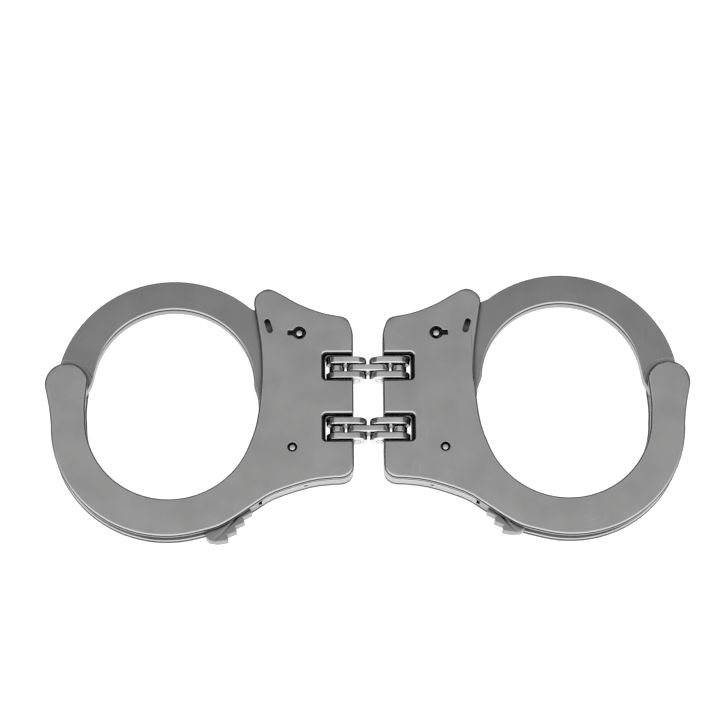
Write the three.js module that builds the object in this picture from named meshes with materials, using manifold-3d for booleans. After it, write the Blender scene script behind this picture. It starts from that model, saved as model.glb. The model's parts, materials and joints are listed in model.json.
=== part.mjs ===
// Hinged handcuffs: two swing-through cuffs joined by two rows of link plates.
//
// Millimetres. X runs across both cuffs, Y runs up the cases and Z is the thickness, with Z = 0 under
// the rear cheeks. One cuff is drawn, on the +X side of the hinge, and the other is its mirror image.
// Angles round the strand's pivot are counted from the case side, positive towards the keyhole.

import * as THREE from 'three';
import { mergeVertices } from 'three/addons/utils/BufferGeometryUtils.js';
import Module from 'manifold-3d';

const wasm = await Module();
wasm.setup();

// Driving dimensions
const THICKNESS = 10;                       // over both cheeks
const CHEEK = 2.3;                          // one cheek plate
const CLEARANCE = 0.3;                      // between faces of neighbouring pieces
const PIN_FIT = 0.08;                       // radial clearance round a pin
const BLIND_SKIN = 0.5;                     // metal left over a blind rivet hole
const MIDDLE = THICKNESS / 2;
const CORE_LOW = CHEEK + CLEARANCE;
const CORE_HIGH = THICKNESS - CHEEK - CLEARANCE;
const BEYOND = 1;                           // how far a cutter runs past what it cuts
const ORIGIN_RISE = 1.921;                  // brings the origin under the middle of the whole

const PIVOT = new THREE.Vector2(104.5, 6);  // the strand's axis
const CHEEK_END_RADIUS = 7.5;
const PIVOT_RIVET_RADIUS = 3;
const RING_INNER = { centre: new THREE.Vector2(68.6, -6.7), radius: 29 };
const RING_OUTER = { centre: new THREE.Vector2(69.2, -8.75), radius: 40.3 };
const CASE_FOOT_END = -104;                 // where the case's lower edge runs into the ring
const WRIST_EDGE_START = -160;              // where the case's wrist side leaves the ring

const CASE_EDGE = 5.15;                     // the case's straight edge, beside the hinge
const CHEEK_NOTCH = { floor: 15.8, half: 4.85 };
const BLOCK_NOTCH = { floor: 14.8, half: 4.45 };
const ROW_HEIGHTS = { upper: 11.9, lower: -10.3 };

const STRAND_OUTER = { centre: new THREE.Vector2(67.8, 4), radius: 40.4 };
const STRAND_INNER = { centre: new THREE.Vector2(67.6, 5.6), radius: 28 };
const HUB_RADIUS = 7.1;
const HUB_RELIEF = { radius: 9, depth: 0.15 };
const TOOTH_PITCH = 3;                      // degrees
const TOOTH_STEEP = 0.6;                    // degrees taken by a tooth's steep flank
const TOOTH_DEPTH = 1.6;
const RACK_RADIUS = 79.2;                   // from the pivot to the teeth's points
const RACK_FIRST = -44.6;                   // the tooth nearest the tip
const RACK_TEETH = 19;
const GROOVE = { radius: 76, width: 0.9, depth: 0.4 };

const SWEEP_RADIUS = RACK_RADIUS + 0.6;     // the case's insides stay outside this
const BLOCK_BACK = 18;
const BLOCK_TOP = 23.7;
const BLOCK_BOTTOM = -21.2;

const KEY_POST = new THREE.Vector2(23.9, 24.15);
const KEY_POST_RADIUS = 1.22;
const KEY_SWEEP = 4.9;
const KEYHOLE = { radius: 2.35, slotHalf: 0.9, slotEnd: 28 };
const WINDOW = { centre: new THREE.Vector2(34.6, 26.7), half: 1.7, radius: 1, tilt: -16 };

const PAWL_ANGLE = -16.7;                   // where the pawl's pivot stands, seen from the strand's
const PAWL_PIVOT_RADIUS = 81.6;
const PAWL_PIN_RADIUS = 1.2;
const PAWL_WINDOW_RADIUS = 1.67;
const PAWL_GAP = 0.5;                       // between the pawl and the rack when engaged
const PAWL_LEAN = 0.15;                     // degrees between their steep flanks
const PAWL_BACK = 83.2;
const LOCK_RECESS = 81.9;                   // where the double lock's lug rests while it is off
const PAWL_FIRST_TOOTH = RACK_FIRST + 15 * TOOTH_PITCH;
const PAWL_TEETH = 3;

const CASE_RIVET_RADIUS = 1.3;
const CASE_RIVETS = [[11, 27], [27.2, 33.4], [14.5, 1.6], [12, -25], [28, -28.2]];

const AXIS_OUTER = 10.8;                    // cuff to outer plates
const AXIS_INNER = 4.2;                     // outer plates to centre link
const HINGE_PIN_RADIUS = 1.5;
const LINK_RIVET_RADIUS = 1.4;
const CENTRE_LINK = { thickness: 2.4, endRadius: 3.3 };
const OUTER_LINK = { thickness: 2.5, endRadius: 3.8 };
const ROLLER_RADIUS = 2.7;

const FINISH = {
  satin: { color: 0x9b9997, roughness: 0.42, metalness: 0.9 },
  bright: { color: 0xc9c6c1, roughness: 0.22, metalness: 0.95 },
  steel: { color: 0x7c7b7a, roughness: 0.5, metalness: 0.85 },
  spring: { color: 0x55585c, roughness: 0.4, metalness: 0.9 },
};

// Outlines

const vector = ([x, y]) => new THREE.Vector2(x, y);

function aroundPivot(radius, angle) {
  const turn = THREE.MathUtils.degToRad(angle);
  return new THREE.Vector2(PIVOT.x - radius * Math.cos(turn), PIVOT.y + radius * Math.sin(turn));
}

function onCircle({ centre, radius }, angle) {
  const turn = THREE.MathUtils.degToRad(angle);
  return new THREE.Vector2(centre.x + radius * Math.cos(turn), centre.y + radius * Math.sin(turn));
}

function arc(round, from, to, step = 4) {
  const count = Math.max(1, Math.ceil(Math.abs(to - from) / step));
  return Array.from({ length: count + 1 }, (_, i) => onCircle(round, from + ((to - from) * i) / count));
}

function circle(centre, radius, step = 15) {
  return arc({ centre, radius }, 0, 360 - step, step);
}

function curve(points, perSpan = 3) {
  return new THREE.SplineCurve(points).getPoints(perSpan * (points.length - 1));
}

// One corner of a straight-sided run, rounded by an arc that touches both of its sides.
function roundedCorner(before, corner, after, radius) {
  const back = before.clone().sub(corner).normalize();
  const on = after.clone().sub(corner).normalize();
  const half = Math.acos(back.dot(on)) / 2;
  const centre = back.clone().add(on).normalize().multiplyScalar(radius / Math.sin(half)).add(corner);
  const reach = radius / Math.tan(half);
  const start = back.multiplyScalar(reach).add(corner).sub(centre);
  const end = on.multiplyScalar(reach).add(corner).sub(centre);
  const from = THREE.MathUtils.radToDeg(start.angle());
  const swing = THREE.MathUtils.radToDeg(Math.atan2(start.cross(end), start.dot(end)));
  return arc({ centre, radius }, from, from + swing, 22.5);
}

// Corners are [x, y, radius]; a corner with no radius stays sharp.
function roundedLoop(corners) {
  return corners.flatMap(([x, y, radius], i) => {
    const corner = new THREE.Vector2(x, y);
    if (!radius) return [corner];
    const before = vector(corners.at(i - 1));
    const after = vector(corners[(i + 1) % corners.length]);
    return roundedCorner(before, corner, after, radius);
  });
}

function withoutRepeats(points) {
  return points.filter((point, i) => point.distanceTo(points.at(i - 1)) > 0.02);
}

// Solids

function extruded(outline, low, high, holes = []) {
  const shape = new THREE.Shape(withoutRepeats(outline));
  shape.holes = holes.map((hole) => new THREE.Path(hole));
  const geometry = new THREE.ExtrudeGeometry(shape, { depth: high - low, bevelEnabled: false });
  return geometry.translate(0, 0, low);
}

function lathed(profile, segments = 16) {
  return new THREE.LatheGeometry(profile.map(vector), segments).rotateX(Math.PI / 2);
}

function solid(geometry) {
  const bare = geometry.clone();
  bare.deleteAttribute('normal');
  bare.deleteAttribute('uv');
  const merged = mergeVertices(bare, 1e-4);
  return new wasm.Manifold(new wasm.Mesh({
    numProp: 3,
    vertProperties: new Float32Array(merged.attributes.position.array),
    triVerts: new Uint32Array(merged.index.array),
  }));
}

function geometryOf(body) {
  const { vertProperties, triVerts } = body.getMesh();
  const geometry = new THREE.BufferGeometry();
  geometry.setAttribute('position', new THREE.BufferAttribute(vertProperties, 3));
  geometry.setIndex(new THREE.BufferAttribute(triVerts, 1));
  return geometry;
}

function cut(geometry, cutters) {
  return geometryOf(cutters.reduce((body, cutter) => body.subtract(solid(cutter)), solid(geometry)));
}

function disc(centre, radius, low, high, step) {
  return extruded(circle(centre, radius, step), low, high);
}

function block(lowX, highX, lowY, highY, low, high) {
  return extruded([[lowX, lowY], [highX, lowY], [highX, highY], [lowX, highY]].map(vector), low, high);
}

function rodAlongY(x, z, radius, lowY, highY, segments = 18) {
  const length = highY - lowY;
  return new THREE.CylinderGeometry(radius, radius, length, segments).translate(x, lowY + length / 2, z);
}

function mesh(name, finish, geometry) {
  const piece = new THREE.Mesh(geometry, new THREE.MeshStandardMaterial(FINISH[finish]));
  piece.name = name;
  return piece;
}

// The cheek plates

function notchedEdge({ floor, half }) {
  const notch = (middle) => [
    [CASE_EDGE, middle + half, 0.7],
    [floor, middle + half, 1.1],
    [floor, middle - half, 1.1],
    [CASE_EDGE, middle - half, 0.7],
  ];
  return roundedLoop([
    [9.4, 30.4, 0],
    [6.9, 29.7, 3.2],
    [CASE_EDGE, 24.6, 6],
    ...notch(ROW_HEIGHTS.upper),
    ...notch(ROW_HEIGHTS.lower),
    [CASE_EDGE, -28.4, 4.6],
    [12, -28.6, 0],
  ]);
}

function caseFoot() {
  const run = [[12, -28.6], [20.4, -29.7], [32.5, -33.7], [39.4, -38], [45.5, -42.2], [51.7, -45.7]].map(vector);
  return curve([...run, onCircle(RING_OUTER, CASE_FOOT_END)]);
}

function cheekEnd() {
  const round = { centre: PIVOT, radius: CHEEK_END_RADIUS };
  const outerSide = curve([onCircle(RING_OUTER, 0), new THREE.Vector2(110.35, -2.4), onCircle(round, -12)]);
  const innerSide = curve([onCircle(round, 170), new THREE.Vector2(97.85, -1.4), onCircle(RING_INNER, 0)]);
  return [...outerSide, ...arc(round, -12, 170, 8), ...innerSide];
}

function wristEdge() {
  const flank = [[39.4, -11.2], [38.15, -5], [37.3, 3.4], [37, 11], [37.4, 19.6], [38.5, 27.6], [39.75, 35]];
  return curve([onCircle(RING_INNER, WRIST_EDGE_START), ...flank.map(vector)]);
}

function nose() {
  const tip = curve([[39.75, 35], [39.3, 37.7], [37.2, 39.8], [34.6, 40.6], [32.2, 39.8]].map(vector), 4);
  const top = curve([[29, 38], [24.9, 35.5], [20.4, 33.4], [15, 31.5], [9.4, 30.4]].map(vector));
  return [...tip, ...top];
}

function cheekOutline(notch = CHEEK_NOTCH) {
  return [
    ...notchedEdge(notch),
    ...caseFoot(),
    ...arc(RING_OUTER, CASE_FOOT_END, 0),
    ...cheekEnd(),
    ...arc(RING_INNER, 0, WRIST_EDGE_START),
    ...wristEdge(),
    ...nose(),
  ];
}

function windowSlot() {
  const { centre, half, radius, tilt } = WINDOW;
  const ends = [...arc({ centre: new THREE.Vector2(0, half), radius }, 0, 180, 36),
    ...arc({ centre: new THREE.Vector2(0, -half), radius }, 180, 360, 36)];
  const origin = new THREE.Vector2();
  return ends.map((point) => point.rotateAround(origin, THREE.MathUtils.degToRad(tilt)).add(centre));
}

function keyhole() {
  const { radius, slotHalf, slotEnd } = KEYHOLE;
  const opening = THREE.MathUtils.radToDeg(Math.asin(slotHalf / radius));
  return [
    ...arc({ centre: KEY_POST, radius }, opening, 360 - opening, 18),
    new THREE.Vector2(slotEnd, KEY_POST.y - slotHalf),
    new THREE.Vector2(slotEnd, KEY_POST.y + slotHalf),
  ];
}

const PAWL_PIVOT = aroundPivot(PAWL_PIVOT_RADIUS, PAWL_ANGLE);

// Blind holes in the inner faces of both cheeks, for the rivets that are ground flush.
function blindHoles() {
  const low = BLIND_SKIN;
  const high = THICKNESS - BLIND_SKIN;
  const rivets = CASE_RIVETS.map((at) => disc(vector(at), CASE_RIVET_RADIUS + PIN_FIT, low, high, 30));
  return [...rivets, disc(PIVOT, PIVOT_RIVET_RADIUS + PIN_FIT, low, high)];
}

function frontCheek() {
  const holes = [keyhole(), windowSlot(), circle(PAWL_PIVOT, PAWL_WINDOW_RADIUS)];
  return cut(extruded(cheekOutline(), THICKNESS - CHEEK, THICKNESS, holes), blindHoles());
}

function rearCheek() {
  const holes = [windowSlot(), circle(PAWL_PIVOT, PAWL_PIN_RADIUS + PIN_FIT, 22.5)];
  const postHole = disc(KEY_POST, KEY_POST_RADIUS + PIN_FIT, BLIND_SKIN, THICKNESS, 22.5);
  return cut(extruded(cheekOutline(), 0, CHEEK, holes), [...blindHoles(), postHole]);
}

// The case's filling pieces, cut from one slab that follows the cheeks' outline.

function caseSlab(notch) {
  const sweep = disc(PIVOT, SWEEP_RADIUS, 0, THICKNESS, 3);
  const rivets = CASE_RIVETS.map((at) => disc(vector(at), CASE_RIVET_RADIUS + PIN_FIT, 0, THICKNESS, 30));
  return solid(cut(extruded(cheekOutline(notch), CORE_LOW, CORE_HIGH), [sweep, ...rivets]));
}

function fromSlab(lowX, highX, lowY, highY, cutters, notch = CHEEK_NOTCH) {
  const region = solid(block(lowX, highX, lowY, highY, 0, THICKNESS));
  return cut(geometryOf(caseSlab(notch).intersect(region)), cutters);
}

function hingeBlock() {
  const bore = rodAlongY(AXIS_OUTER, MIDDLE, HINGE_PIN_RADIUS + PIN_FIT, BLOCK_BOTTOM - BEYOND, 22);
  return fromSlab(0, BLOCK_BACK, BLOCK_BOTTOM, BLOCK_TOP, [bore], BLOCK_NOTCH);
}

function upperSpacer() {
  const keyRoom = disc(KEY_POST, KEY_SWEEP, 0, THICKNESS, 10);
  const armRoom = block(BLOCK_BACK - 0.4, KEY_POST.x, 20, KEY_POST.y + 2, 0, THICKNESS);
  return fromSlab(0, 34, BLOCK_TOP + CLEARANCE, 45, [keyRoom, armRoom]);
}

function lowerSpacer() {
  const footRoom = block(BLOCK_BACK - 0.4, 24, -26, 0, 0, THICKNESS);
  const pushHole = rodAlongY(21.8, MIDDLE, 0.8, -40, 0, 16);
  return fromSlab(0, 40, -45, BLOCK_BOTTOM - CLEARANCE, [footRoom, pushHole]);
}

// The strand, a toothed arc that swings right through between the cheeks.

function toothPoint(angle) {
  return aroundPivot(RACK_RADIUS, angle);
}

function toothRoot(angle) {
  return aroundPivot(RACK_RADIUS - TOOTH_DEPTH, angle + TOOTH_STEEP);
}

function rack() {
  return Array.from({ length: RACK_TEETH }, (_, i) => RACK_FIRST + i * TOOTH_PITCH)
    .reverse()
    .flatMap((angle) => [toothRoot(angle), toothPoint(angle)]);
}

function strandTip() {
  return [[77.6, -46.3], [76.3, -47.4], [74.8, -48.2], [73.2, -48.3], [72.1, -47.5]]
    .map(([radius, angle]) => aroundPivot(radius, angle));
}

function strandBack() {
  return curve([[72, -45], [71.8, -36], [69.4, -18], [66.4, -4]]
    .map(([radius, angle]) => aroundPivot(radius, angle)));
}

// The fuller part of the strand between its round back and its teeth.
function shoulder() {
  const run = [onCircle(STRAND_OUTER, 132), new THREE.Vector2(34.4, 30.6), new THREE.Vector2(30.9, 26.4)];
  return curve([...run, aroundPivot(76.2, 12.4)]).slice(1);
}

function strandOutline() {
  const neck = curve([[94.99, 11.42], [96.1, 6.6], [97.85, 3.6]].map(vector));
  return [
    ...arc(STRAND_OUTER, 13.5, 132),
    ...shoulder(),
    ...rack(),
    ...strandTip(),
    ...strandBack(),
    ...arc(STRAND_INNER, 180, 12),
    ...neck,
    ...arc({ centre: PIVOT, radius: HUB_RADIUS }, 205, 395, 10),
  ];
}

function grooveCutter(low, high) {
  const half = GROOVE.width / 2;
  const band = (radius, from, to) => arc({ centre: PIVOT, radius }, from, to, 4);
  const outline = [...band(GROOVE.radius + half, 170, 232), ...band(GROOVE.radius - half, 232, 170)];
  return extruded(outline, low, high);
}

function strand() {
  const { radius, depth } = HUB_RELIEF;
  const body = extruded(strandOutline(), CORE_LOW, CORE_HIGH, [circle(PIVOT, PIVOT_RIVET_RADIUS + PIN_FIT)]);
  const cutters = [
    disc(PIVOT, radius, CORE_HIGH - depth, CORE_HIGH + BEYOND, 8),
    disc(PIVOT, radius, CORE_LOW - BEYOND, CORE_LOW + depth, 8),
    grooveCutter(CORE_HIGH - GROOVE.depth, CORE_HIGH + BEYOND),
    grooveCutter(CORE_LOW - BEYOND, CORE_LOW + GROOVE.depth),
  ];
  return cut(body, cutters).translate(-PIVOT.x, -PIVOT.y, 0);
}

// The pawl, drawn engaged with the rack.

function pawlTeeth() {
  const clear = (radius, angle) => aroundPivot(radius + PAWL_GAP, angle + PAWL_LEAN);
  return Array.from({ length: PAWL_TEETH }, (_, i) => PAWL_FIRST_TOOTH + i * TOOTH_PITCH)
    .flatMap((angle) => [clear(RACK_RADIUS, angle), clear(RACK_RADIUS - TOOTH_DEPTH, angle + TOOTH_STEEP)]);
}

function pawlOutline() {
  const face = RACK_RADIUS + PAWL_GAP;
  const belly = [-19, -15, -10, -5, PAWL_FIRST_TOOTH - 1.5].map((angle) => aroundPivot(face, angle));
  const finger = [[25.4, 18.6], [24.6, 21], [22.4, 21.2]].map(vector);
  const back = [8, 4, 0, -3, -6.2].map((angle) => aroundPivot(PAWL_BACK, angle));
  const lockRecess = [[LOCK_RECESS, -6.2], [LOCK_RECESS, -10], [PAWL_BACK, -10.7]]
    .map(([radius, angle]) => aroundPivot(radius, angle));
  const boss = arc({ centre: PAWL_PIVOT, radius: 2.9 }, 165, 290, 15);
  return [...belly, ...pawlTeeth(), aroundPivot(face, 9.3), ...finger, ...back, ...lockRecess, ...boss];
}

function pawl() {
  return extruded(pawlOutline(), CORE_LOW, CORE_HIGH, [circle(PAWL_PIVOT, PAWL_PIN_RADIUS + PIN_FIT, 22.5)]);
}

// A thin strip bent along a centre line.
function leaf(centreLine, thickness, low, high) {
  const sides = centreLine.map((point, i) => {
    const before = centreLine[Math.max(0, i - 1)];
    const after = centreLine[Math.min(centreLine.length - 1, i + 1)];
    const across = after.clone().sub(before).normalize().multiplyScalar(thickness / 2);
    return new THREE.Vector2(-across.y, across.x);
  });
  const left = centreLine.map((point, i) => point.clone().add(sides[i]));
  const right = centreLine.map((point, i) => point.clone().sub(sides[i])).reverse();
  return extruded([...left, ...right].reverse(), low, high);
}

function pawlSpring() {
  const bend = { centre: new THREE.Vector2(20.5, -19.4), radius: 1.9 };
  const line = [
    new THREE.Vector2(18.65, -4),
    ...arc(bend, 180, 360, 20),
    new THREE.Vector2(22.1, -12.5),
  ];
  return leaf(line, 0.4, MIDDLE + CLEARANCE / 2, CORE_HIGH);
}

// The double lock: a bar that slides up until its lug stands behind the pawl.
function doubleLockBar() {
  const outline = [
    [18.3, -25.2], [23.2, -25.2], [23.2, -23.6], [20, -23.6], [20, -7], [21.2, -7], [21.2, -4],
    [19.2, -4], [19.2, 18], [18.3, 18],
  ];
  return extruded(outline.map(vector), CORE_LOW, MIDDLE - CLEARANCE / 2);
}

function keyPost() {
  const [r, low, high] = [KEY_POST_RADIUS, BLIND_SKIN + 0.1, THICKNESS - 0.35];
  return lathed([[0, low], [r, low], [r, high - 0.5], [0.8 * r, high - 0.15], [0, high]])
    .translate(KEY_POST.x, KEY_POST.y, 0);
}

function pawlRivet() {
  const [r, low, high] = [PAWL_PIN_RADIUS, 0.05, THICKNESS - 0.5];
  return lathed([[0, low], [r, low], [r, high - 0.4], [0.75 * r, high - 0.1], [0, high]])
    .translate(PAWL_PIVOT.x, PAWL_PIVOT.y, 0);
}

function flushRivet(centre, radius, step) {
  return disc(centre, radius, BLIND_SKIN + 0.1, THICKNESS - BLIND_SKIN - 0.1, step);
}

function cuff(side) {
  const group = new THREE.Group();
  const swing = new THREE.Group();
  swing.position.set(PIVOT.x, PIVOT.y, 0);
  swing.rotation.z = THREE.MathUtils.degToRad(-TOOTH_PITCH * side.openTeeth);
  swing.add(mesh(`${side.name}_strand`, 'satin', strand()));
  group.add(
    swing,
    mesh(`${side.name}_front_cheek`, 'satin', frontCheek()),
    mesh(`${side.name}_rear_cheek`, 'satin', rearCheek()),
    mesh(`${side.name}_hinge_block`, 'satin', hingeBlock()),
    mesh(`${side.name}_upper_spacer`, 'satin', upperSpacer()),
    mesh(`${side.name}_lower_spacer`, 'satin', lowerSpacer()),
    mesh(`${side.name}_pivot_rivet`, 'steel', flushRivet(PIVOT, PIVOT_RIVET_RADIUS, 20)),
    mesh(`${side.name}_pawl`, 'steel', pawl()),
    mesh(`${side.name}_pawl_rivet`, 'bright', pawlRivet()),
    mesh(`${side.name}_pawl_spring`, 'spring', pawlSpring()),
    mesh(`${side.name}_double_lock_bar`, 'steel', doubleLockBar()),
    mesh(`${side.name}_key_post`, 'bright', keyPost()),
    mesh(`${side.name}_hinge_pin`, 'bright',
      rodAlongY(AXIS_OUTER, MIDDLE, HINGE_PIN_RADIUS, BLOCK_BOTTOM + 0.6, 21.7)),
    ...CASE_RIVETS.map((at, i) => mesh(`${side.name}_case_rivet_${i + 1}`, 'steel',
      flushRivet(vector(at), CASE_RIVET_RADIUS, 30))),
    ...Object.entries(ROW_HEIGHTS).map(([row, height]) => roller(`${side.name}_${row}_roller`, height)),
  );
  group.scale.x = side.direction;
  return group;
}

// The hinge

// A plate that stands on edge across the hinge, with a hole round each of its two axes.
function linkPlate(name, { thickness, endRadius: radius }, ends, y) {
  const [first, last] = ends.map(({ x }) => new THREE.Vector2(x, 0));
  const outline = [...arc({ centre: last, radius }, -90, 90, 12), ...arc({ centre: first, radius }, 90, 270, 12)];
  const holes = ends.map(({ x, pin }) => circle(new THREE.Vector2(x, 0), pin + PIN_FIT));
  const plate = mesh(name, 'bright', extruded(outline, -thickness / 2, thickness / 2, holes));
  plate.rotation.x = Math.PI / 2;
  plate.position.set(0, y, MIDDLE);
  return plate;
}

function roller(name, y) {
  const half = CENTRE_LINK.thickness / 2;
  const [bore, r] = [HINGE_PIN_RADIUS + PIN_FIT, ROLLER_RADIUS];
  const profile = [[bore, -half], [r - 0.35, -half], [r, -half + 0.35], [r, half - 0.35], [r - 0.35, half],
    [bore, half], [bore, -half]];
  const barrel = mesh(name, 'bright', new THREE.LatheGeometry(profile.map(vector), 20));
  barrel.position.set(AXIS_OUTER, y, MIDDLE);
  return barrel;
}

const ROW_HALF = CENTRE_LINK.thickness / 2 + CLEARANCE + OUTER_LINK.thickness;

// Ground flush with the outer plates' faces.
function linkRivet(name, x, y) {
  return mesh(name, 'bright', rodAlongY(x, MIDDLE, LINK_RIVET_RADIUS, y - ROW_HALF, y + ROW_HALF));
}

function linkRow(row, height) {
  const offset = (CENTRE_LINK.thickness + OUTER_LINK.thickness) / 2 + CLEARANCE;
  const outerAxis = { x: AXIS_OUTER, pin: HINGE_PIN_RADIUS };
  const innerAxis = { x: AXIS_INNER, pin: LINK_RIVET_RADIUS };
  const mirrored = ({ x, pin }) => ({ x: -x, pin });
  const group = new THREE.Group();
  group.add(linkPlate(`${row}_centre_link`, CENTRE_LINK, [mirrored(innerAxis), innerAxis], height));
  [['top', offset], ['bottom', -offset]].forEach(([level, shift]) => {
    group.add(
      linkPlate(`right_${row}_${level}_link`, OUTER_LINK, [innerAxis, outerAxis], height + shift),
      linkPlate(`left_${row}_${level}_link`, OUTER_LINK, [mirrored(outerAxis), mirrored(innerAxis)],
        height + shift),
    );
  });
  group.add(
    linkRivet(`right_${row}_link_rivet`, AXIS_INNER, height),
    linkRivet(`left_${row}_link_rivet`, -AXIS_INNER, height),
  );
  return group;
}

const handcuffs = new THREE.Group();
handcuffs.position.y = ORIGIN_RISE;
handcuffs.add(
  cuff({ name: 'left', direction: -1, openTeeth: 0 }),
  cuff({ name: 'right', direction: 1, openTeeth: 1 }),
  ...Object.entries(ROW_HEIGHTS).map(([row, height]) => linkRow(row, height)),
);

export default handcuffs;
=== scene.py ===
"""Hinged handcuffs lying on a white table, seen from above. Everything is in metres, in the CAD frame."""

import json
import math

import bmesh
import bpy
from mathutils import Matrix, Vector

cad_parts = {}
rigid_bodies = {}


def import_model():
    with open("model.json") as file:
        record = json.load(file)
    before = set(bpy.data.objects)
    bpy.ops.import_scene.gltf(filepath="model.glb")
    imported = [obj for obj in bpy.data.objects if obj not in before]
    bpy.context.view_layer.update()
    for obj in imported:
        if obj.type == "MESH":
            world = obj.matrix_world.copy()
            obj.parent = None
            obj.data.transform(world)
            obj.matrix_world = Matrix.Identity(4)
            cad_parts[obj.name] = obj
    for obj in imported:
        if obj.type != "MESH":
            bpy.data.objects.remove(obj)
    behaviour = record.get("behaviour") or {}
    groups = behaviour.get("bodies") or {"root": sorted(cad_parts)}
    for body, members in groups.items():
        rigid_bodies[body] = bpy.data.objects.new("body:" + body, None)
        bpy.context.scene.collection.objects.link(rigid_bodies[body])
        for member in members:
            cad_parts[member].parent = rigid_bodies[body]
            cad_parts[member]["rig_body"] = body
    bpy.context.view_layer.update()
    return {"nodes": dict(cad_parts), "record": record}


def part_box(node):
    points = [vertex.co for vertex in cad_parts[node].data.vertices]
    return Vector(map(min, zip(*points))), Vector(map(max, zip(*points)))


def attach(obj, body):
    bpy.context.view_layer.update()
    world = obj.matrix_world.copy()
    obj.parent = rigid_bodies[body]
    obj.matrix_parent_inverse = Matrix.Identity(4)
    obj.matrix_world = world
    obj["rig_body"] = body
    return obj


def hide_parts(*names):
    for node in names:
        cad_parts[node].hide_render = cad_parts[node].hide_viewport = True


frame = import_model()

MM = 0.001

# Camera: a long lens, looking down from the front
CAMERA_TARGET = Vector((-1.85, 16.65, 5.0)) * MM
CAMERA_DISTANCE = 900 * MM
CAMERA_AZIMUTH = math.radians(-3.2)
CAMERA_ELEVATION = math.radians(71.1)
CAMERA_ROLL = math.radians(-0.58)
CAMERA_LENS = 127.9

# Stage
FLOOR_SIZE = 40
FLOOR_DROP = 240 * MM
FLOOR_COLOR = (0.9, 0.9, 0.9, 1)
FLOOR_GLOW = 0.6
SKY_FRONT = 1.25
SKY_BACK = 0.07
SKY_TURN = 0.38
LIGHT_PLACE = (0, 0.36, 1.1)
LIGHT_SIZE = (1.5, 0.9)
LIGHT_ENERGY = 1.9

# Painted shade: darker in the gaps between pieces, by how open the surface is, and on an edge where it
# turns down towards the side
GAP_SHADE_REACH = 2.6 * MM
GAP_SHADE_RANGE = (0.75, 0.3)
GAP_SHADE_SHARE = 0.1
EDGE_SHADE_RANGE = (0.88, 0.62)
EDGE_SHADE_LEVEL = 0.04

# The scratches' directions in degrees, each with a shift that sets its pattern apart
SCRATCHES = ((24, 100), (-38, 500), (81, 900))

# Material slots on every piece; the last holds painted shade for notch insides and groove floors
FACE_SLOT, EDGE_SLOT, SIDE_SLOT, SHADE_SLOT = range(4)

# Edges: the bevel's width for each kind of edge, and where each kind is
OUTLINE_WIDTH = 0.8 * MM
HOLE_WIDTH = 0.16 * MM
TOOTH_WIDTH = 0.12 * MM
LINK_WIDTH = 0.4 * MM
SMALL_WIDTH = 0.12 * MM
TOOTH_RADIUS = 75.5 * MM
STEP_RADIUS = 9.5 * MM
BLEND_LENGTH = 15 * MM
NOTCH_EDGE = 5.7 * MM
NOTCH_FLOOR = 16.5 * MM
NOTCH_HALF = 5.2 * MM
GROOVE_LEVEL = 2.1 * MM
FLAT_ANGLE = math.radians(1)
SHARP_ANGLE = math.radians(35)
OUTLINE_EDGES = 60


# Shader nodes


def node(tree, kind, inputs=None, **settings):
    """Adds a shader node. An input given as a socket is linked, and anything else is its value."""
    made = tree.nodes.new("ShaderNode" + kind)
    for key, value in settings.items():
        setattr(made, key, value)
    for key, value in (inputs or {}).items():
        if isinstance(value, bpy.types.NodeSocket):
            tree.links.new(value, made.inputs[key])
        else:
            made.inputs[key].default_value = value
    return made


def noise(tree, place, size, detail=2, turn=0, shift=0):
    """Noise from 0 to 1. Its features are about size metres across, along axes turned about Z."""
    mapping = node(tree, "Mapping", {
        "Vector": place,
        "Location": (shift * MM, shift * 2 * MM, 0),
        "Rotation": (0, 0, math.radians(turn)),
        "Scale": size,
    }, vector_type="TEXTURE")
    made = node(tree, "TexNoise", {"Vector": mapping.outputs[0], "Scale": 1, "Detail": detail})
    return made.outputs["Fac"]


def ramp(tree, value, low, high, start=0, end=1):
    made = node(tree, "MapRange", {
        "Value": value,
        "From Min": low,
        "From Max": high,
        "To Min": start,
        "To Max": end,
    }, interpolation_type="SMOOTHSTEP")
    return made.outputs[0]


def combine(tree, operation, first, second):
    made = node(tree, "Math", {0: first, 1: second}, operation=operation)
    return made.outputs[0]


def mix_color(tree, factor, first, second):
    made = node(tree, "Mix", {0: factor, 6: first, 7: second}, data_type="RGBA")
    return made.outputs[2]


# Materials


def gray(level, warmth=0.0):
    return (level * (1 + warmth), level, level * (1 - warmth), 1)


def even(size):
    return (size * MM,) * 3


def scratches(tree, place, turn, shift):
    """Sparse thin straight marks along one direction, 1 on a mark and 0 elsewhere."""
    lines = noise(tree, place, (14 * MM, 0.32 * MM, 14 * MM), detail=1, turn=turn, shift=shift)
    where = noise(tree, place, even(9), detail=1, shift=shift + 30)
    thin = ramp(tree, lines, 0.68, 0.74)
    return combine(tree, "MULTIPLY", thin, ramp(tree, where, 0.54, 0.62))


def cloudy_tone(tree, clouds, level, warmth, mottle):
    darker = gray(level * (1 - mottle), warmth)
    lighter = gray(level * (1 + mottle), warmth)
    return mix_color(tree, ramp(tree, clouds, 0.3, 0.7), darker, lighter)


def paint_edge_shade(tree, normal, color):
    """Paints shade: darkens the colour where the surface turns down towards the side."""
    upward = node(tree, "SeparateXYZ", {0: normal}).outputs[2]
    upright = node(tree, "Math", {0: upward}, operation="ABSOLUTE").outputs[0]
    return mix_color(tree, ramp(tree, upright, *EDGE_SHADE_RANGE), color, gray(EDGE_SHADE_LEVEL))


def paint_gap_shade(tree, color, level):
    """Paints shade: darkens the colour in tight gaps, by ambient occlusion."""
    openness = node(tree, "AmbientOcclusion", {"Distance": GAP_SHADE_REACH}, samples=6).outputs["AO"]
    return mix_color(tree, ramp(tree, openness, *GAP_SHADE_RANGE), color, gray(level * GAP_SHADE_SHARE))


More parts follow.
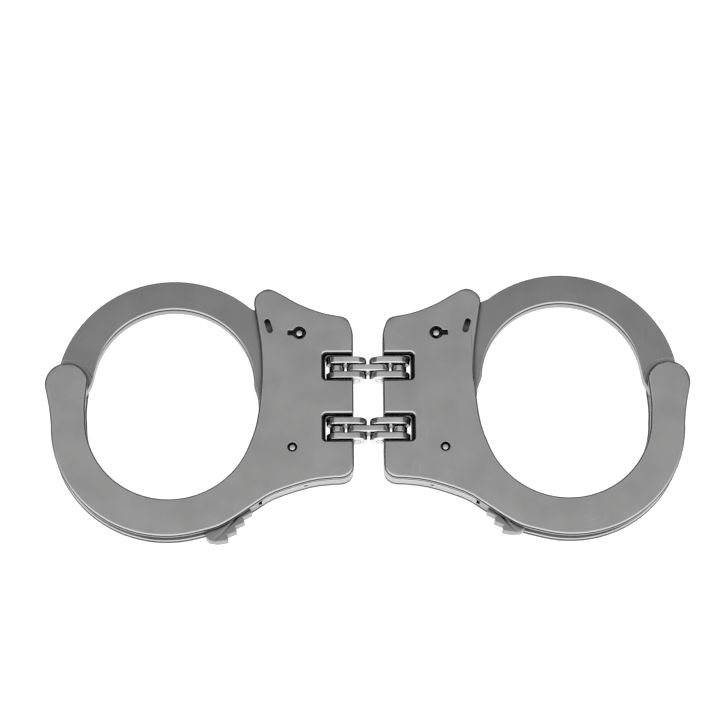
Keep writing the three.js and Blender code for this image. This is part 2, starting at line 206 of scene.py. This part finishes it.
def metal(name, level, roughness, warmth=0.004, mottle=0.06, grain=0.12, marks=0.35, shaded_edge=False):
    """Plated or bare steel: cloudy tone, fine grain in the bump, and a few light scratches.

    Painted shade darkens it in tight gaps, and on an edge where it turns down towards the side.
    """
    material = bpy.data.materials.new(name)
    material.use_nodes = True
    tree = material.node_tree
    shader = tree.nodes["Principled BSDF"]
    texture_place = node(tree, "TexCoord")
    place = texture_place.outputs["Object"]
    clouds = noise(tree, place, even(11), detail=4)
    grains = noise(tree, place, even(0.3))
    lines = 0
    for turn, shift in SCRATCHES:
        lines = combine(tree, "MAXIMUM", lines, scratches(tree, place, turn, shift))
    marked = combine(tree, "MULTIPLY", lines, marks)
    tone = cloudy_tone(tree, clouds, level, warmth, mottle)
    color = mix_color(tree, marked, tone, gray(min(1, level * 1.4), warmth))
    # painted shade on an edge where it turns down towards the side
    if shaded_edge:
        color = paint_edge_shade(tree, texture_place.outputs["Normal"], color)
    # painted shade: the colour goes darker in tight gaps, from ambient occlusion
    tree.links.new(paint_gap_shade(tree, color, level), shader.inputs["Base Color"])
    cloudy = ramp(tree, clouds, 0.3, 0.7, roughness * 0.92, roughness * 1.1)
    grainy = combine(tree, "ADD", cloudy, combine(tree, "MULTIPLY", grains, grain * 0.3))
    tree.links.new(grainy, shader.inputs["Roughness"])
    height = combine(tree, "SUBTRACT", grains, marked)
    bump = node(tree, "Bump", {"Strength": grain, "Distance": 0.03 * MM, "Height": height})
    tree.links.new(bump.outputs[0], shader.inputs["Normal"])
    shader.inputs["Metallic"].default_value = 1.0
    return material


SATIN = metal("satin_nickel", 0.46, 0.36)
DARK_SATIN = metal("strand_nickel", 0.34, 0.36)
# worn edge, with painted shade where it turns down towards the side
EDGE = metal("worn_edge_painted_shade", 0.62, 0.2, mottle=0.04, grain=0.05, marks=0.2, shaded_edge=True)
POLISHED = metal("polished_edge", 0.85, 0.16, mottle=0.05, grain=0.05)
SIDE = metal("buffed_side", 0.8, 0.28, mottle=0.1, grain=0.1)
BRIGHT = metal("bright_nickel", 0.62, 0.18, mottle=0.15)
# near black: painted shade inside the notches, on the groove floors and on the hinge block
SHADE_BLACK = metal("painted_shade_black", 0.025, 0.5, mottle=0.3)
STEEL = metal("plain_steel", 0.3, 0.42)
SPRING = metal("spring_steel", 0.2, 0.35, warmth=-0.05)
FINISHES = {
    "satin_nickel": SATIN,
    "bright_nickel": BRIGHT,
    "plain_steel": STEEL,
    "spring_steel": SPRING,
}


# Pieces: each CAD node's mesh is copied, its flat faces are joined and its edges are rounded


def edge_loops(edges):
    """Groups of edges that join end to end."""
    at = {}
    for edge in edges:
        for vert in edge.verts:
            at.setdefault(vert, []).append(edge)
    seen = set()
    loops = []
    for edge in edges:
        if edge in seen:
            continue
        seen.add(edge)
        loop = [edge]
        for other in loop:
            for near in (e for vert in other.verts for e in at[vert] if e not in seen):
                seen.add(near)
                loop.append(near)
        loops.append(loop)
    return loops


def strand_width(edge, pivot):
    """Narrow at a strand's teeth and at the step round its pivot, and full width between them."""
    reach = [(vert.co.xy - pivot.xy).length for vert in edge.verts]
    clear = min(TOOTH_RADIUS - max(reach), min(reach) - STEP_RADIUS)
    share = min(1, max(0, clear / BLEND_LENGTH))
    return TOOTH_WIDTH + share * (OUTLINE_WIDTH - TOOTH_WIDTH)


def middle(name):
    low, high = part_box(name)
    return (low + high) / 2


ROWS = [middle(row + "_centre_link").y for row in ("upper", "lower")]
MIDDLE = middle("left_strand").z


def plate_widths(sharp, pivot):
    """Wide rounding on a plate's outline, narrow on its holes and teeth."""
    rims = [e for e in sharp if abs(e.verts[0].co.z - e.verts[1].co.z) < 1e-6]
    widths = dict.fromkeys(sharp, SMALL_WIDTH)
    for loop in edge_loops(rims):
        outline = len(loop) > OUTLINE_EDGES
        for edge in loop:
            widths[edge] = OUTLINE_WIDTH if outline else HOLE_WIDTH
            if pivot and outline:
                widths[edge] = strand_width(edge, pivot)
    return widths


def edge_widths(name, sharp):
    if name.endswith("strand"):
        return plate_widths(sharp, middle(name.replace("strand", "pivot_rivet")))
    if name.endswith("cheek"):
        return plate_widths(sharp, None)
    width = LINK_WIDTH if name.endswith("link") else SMALL_WIDTH
    return dict.fromkeys(sharp, width)


def is_notch(point):
    """True for a side wall inside one of the case's notches."""
    across = NOTCH_EDGE < abs(point.x) < NOTCH_FLOOR
    return across and any(abs(point.y - row) < NOTCH_HALF for row in ROWS)


def face_slot(name, face):
    """The material slot of a face: its finish, a side wall, or painted shade on a groove floor or the
    inside of a notch.
    """
    upright = abs(face.normal.z) < 0.5
    centre = face.calc_center_median()
    if name.endswith("cheek") and upright and is_notch(centre):
        return SHADE_SLOT
    if name.endswith("strand") and not upright and abs(centre.z - MIDDLE) < GROOVE_LEVEL:
        return SHADE_SLOT
    has_sides = name.endswith(("cheek", "strand", "spacer"))
    return SIDE_SLOT if upright and has_sides else FACE_SLOT


def rounded_copy(name):
    node_object = frame["nodes"][name]
    mesh = node_object.data.copy()
    work = bmesh.new()
    work.from_mesh(mesh)
    weight = work.edges.layers.float.new("bevel_weight_edge")
    bmesh.ops.remove_doubles(work, verts=work.verts, dist=1e-6)
    bmesh.ops.dissolve_limit(work, angle_limit=FLAT_ANGLE, verts=work.verts, edges=work.edges)
    sharp = [e for e in work.edges if len(e.link_faces) == 2 and e.calc_face_angle() > SHARP_ANGLE]
    for edge, width in edge_widths(name, sharp).items():
        edge[weight] = width / MM
    for face in work.faces:
        face.smooth = True
        face.material_index = face_slot(name, face)
    bmesh.ops.triangulate(work, faces=[face for face in work.faces if len(face.verts) > 4])
    work.to_mesh(mesh)
    work.free()
    piece = bpy.data.objects.new(name + "_body", mesh)
    bpy.context.scene.collection.objects.link(piece)
    bevel = piece.modifiers.new("rounding", "BEVEL")
    bevel.limit_method = "WEIGHT"
    bevel.width = MM  # so an edge's weight is its width in millimetres
    bevel.segments = 3
    bevel.use_clamp_overlap = False
    bevel.loop_slide = False
    bevel.material = EDGE_SLOT
    piece.modifiers.new("even_shading", "WEIGHTED_NORMAL")
    return piece


def slot_of(name):
    return next(s["material_slot"] for s in frame["record"]["subparts"] if s["node"] == name)


def finish_of(name):
    if name.endswith("strand"):
        return DARK_SATIN
    # the hinge block, seen only through the notches, is painted near black as shade
    if name.endswith("hinge_block"):
        return SHADE_BLACK
    return FINISHES[slot_of(name)]


def add_piece(name):
    piece = rounded_copy(name)
    piece.data.materials.clear()
    edge = EDGE if name.endswith(("cheek", "strand")) else POLISHED
    for material in (finish_of(name), edge, SIDE, SHADE_BLACK):
        piece.data.materials.append(material)
    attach(piece, frame["nodes"][name]["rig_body"])
    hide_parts(name)


# Stage


def add_camera():
    data = bpy.data.cameras.new("camera")
    data.lens = CAMERA_LENS
    data.sensor_width = 36
    data.clip_start = 0.01
    data.clip_end = 20
    camera = bpy.data.objects.new("camera", data)
    bpy.context.scene.collection.objects.link(camera)
    level = math.cos(CAMERA_ELEVATION)
    away = Vector((
        level * math.sin(CAMERA_AZIMUTH),
        -level * math.cos(CAMERA_AZIMUTH),
        math.sin(CAMERA_ELEVATION),
    ))
    level_right = Vector((0, 1, 0)).cross(away).normalized()
    level_up = away.cross(level_right)
    right = level_right * math.cos(CAMERA_ROLL) + level_up * math.sin(CAMERA_ROLL)
    turn = Matrix((right, away.cross(right), away)).transposed().to_4x4()
    place = Matrix.Translation(CAMERA_TARGET + away * CAMERA_DISTANCE)
    camera.matrix_world = place @ turn
    bpy.context.scene.camera = camera


def add_floor():
    """A pure white floor with no shadow on it, low enough for a cuff or a strand to fold down."""
    bpy.ops.mesh.primitive_plane_add(size=FLOOR_SIZE, location=(0, 0, -FLOOR_DROP))
    floor = bpy.context.object
    floor.name = "floor"
    material = bpy.data.materials.new("floor_white")
    material.use_nodes = True
    shader = material.node_tree.nodes["Principled BSDF"]
    shader.inputs["Base Color"].default_value = FLOOR_COLOR
    shader.inputs["Roughness"].default_value = 0.9
    shader.inputs["Emission Color"].default_value = (1, 1, 1, 1)
    shader.inputs["Emission Strength"].default_value = FLOOR_GLOW
    floor.data.materials.append(material)


def add_sky():
    """A studio that is bright in front of the object and dim behind it."""
    world = bpy.data.worlds.new("studio")
    bpy.context.scene.world = world
    world.use_nodes = True
    tree = world.node_tree
    direction = node(tree, "TexCoord").outputs["Generated"]
    split = node(tree, "SeparateXYZ", {0: direction})
    front = ramp(tree, split.outputs[1], SKY_TURN, -SKY_TURN, SKY_BACK, SKY_FRONT)
    tree.links.new(front, tree.nodes["Background"].inputs["Strength"])
    tree.nodes["Background"].inputs["Color"].default_value = (1, 1, 1, 1)


def area_light(name, location, target, size, energy):
    data = bpy.data.lights.new(name, "AREA")
    data.shape = "RECTANGLE"
    data.size, data.size_y = size
    data.energy = energy
    light = bpy.data.objects.new(name, data)
    bpy.context.scene.collection.objects.link(light)
    light.location = location
    direction = Vector(target) - Vector(location)
    light.rotation_euler = direction.to_track_quat("-Z", "Y").to_euler()


add_camera()
bpy.context.scene.view_settings.view_transform = "Standard"
add_floor()
add_sky()
area_light("overhead", LIGHT_PLACE, (0, 0, 0), LIGHT_SIZE, LIGHT_ENERGY)
for cad_name in sorted(frame["nodes"]):
    add_piece(cad_name)
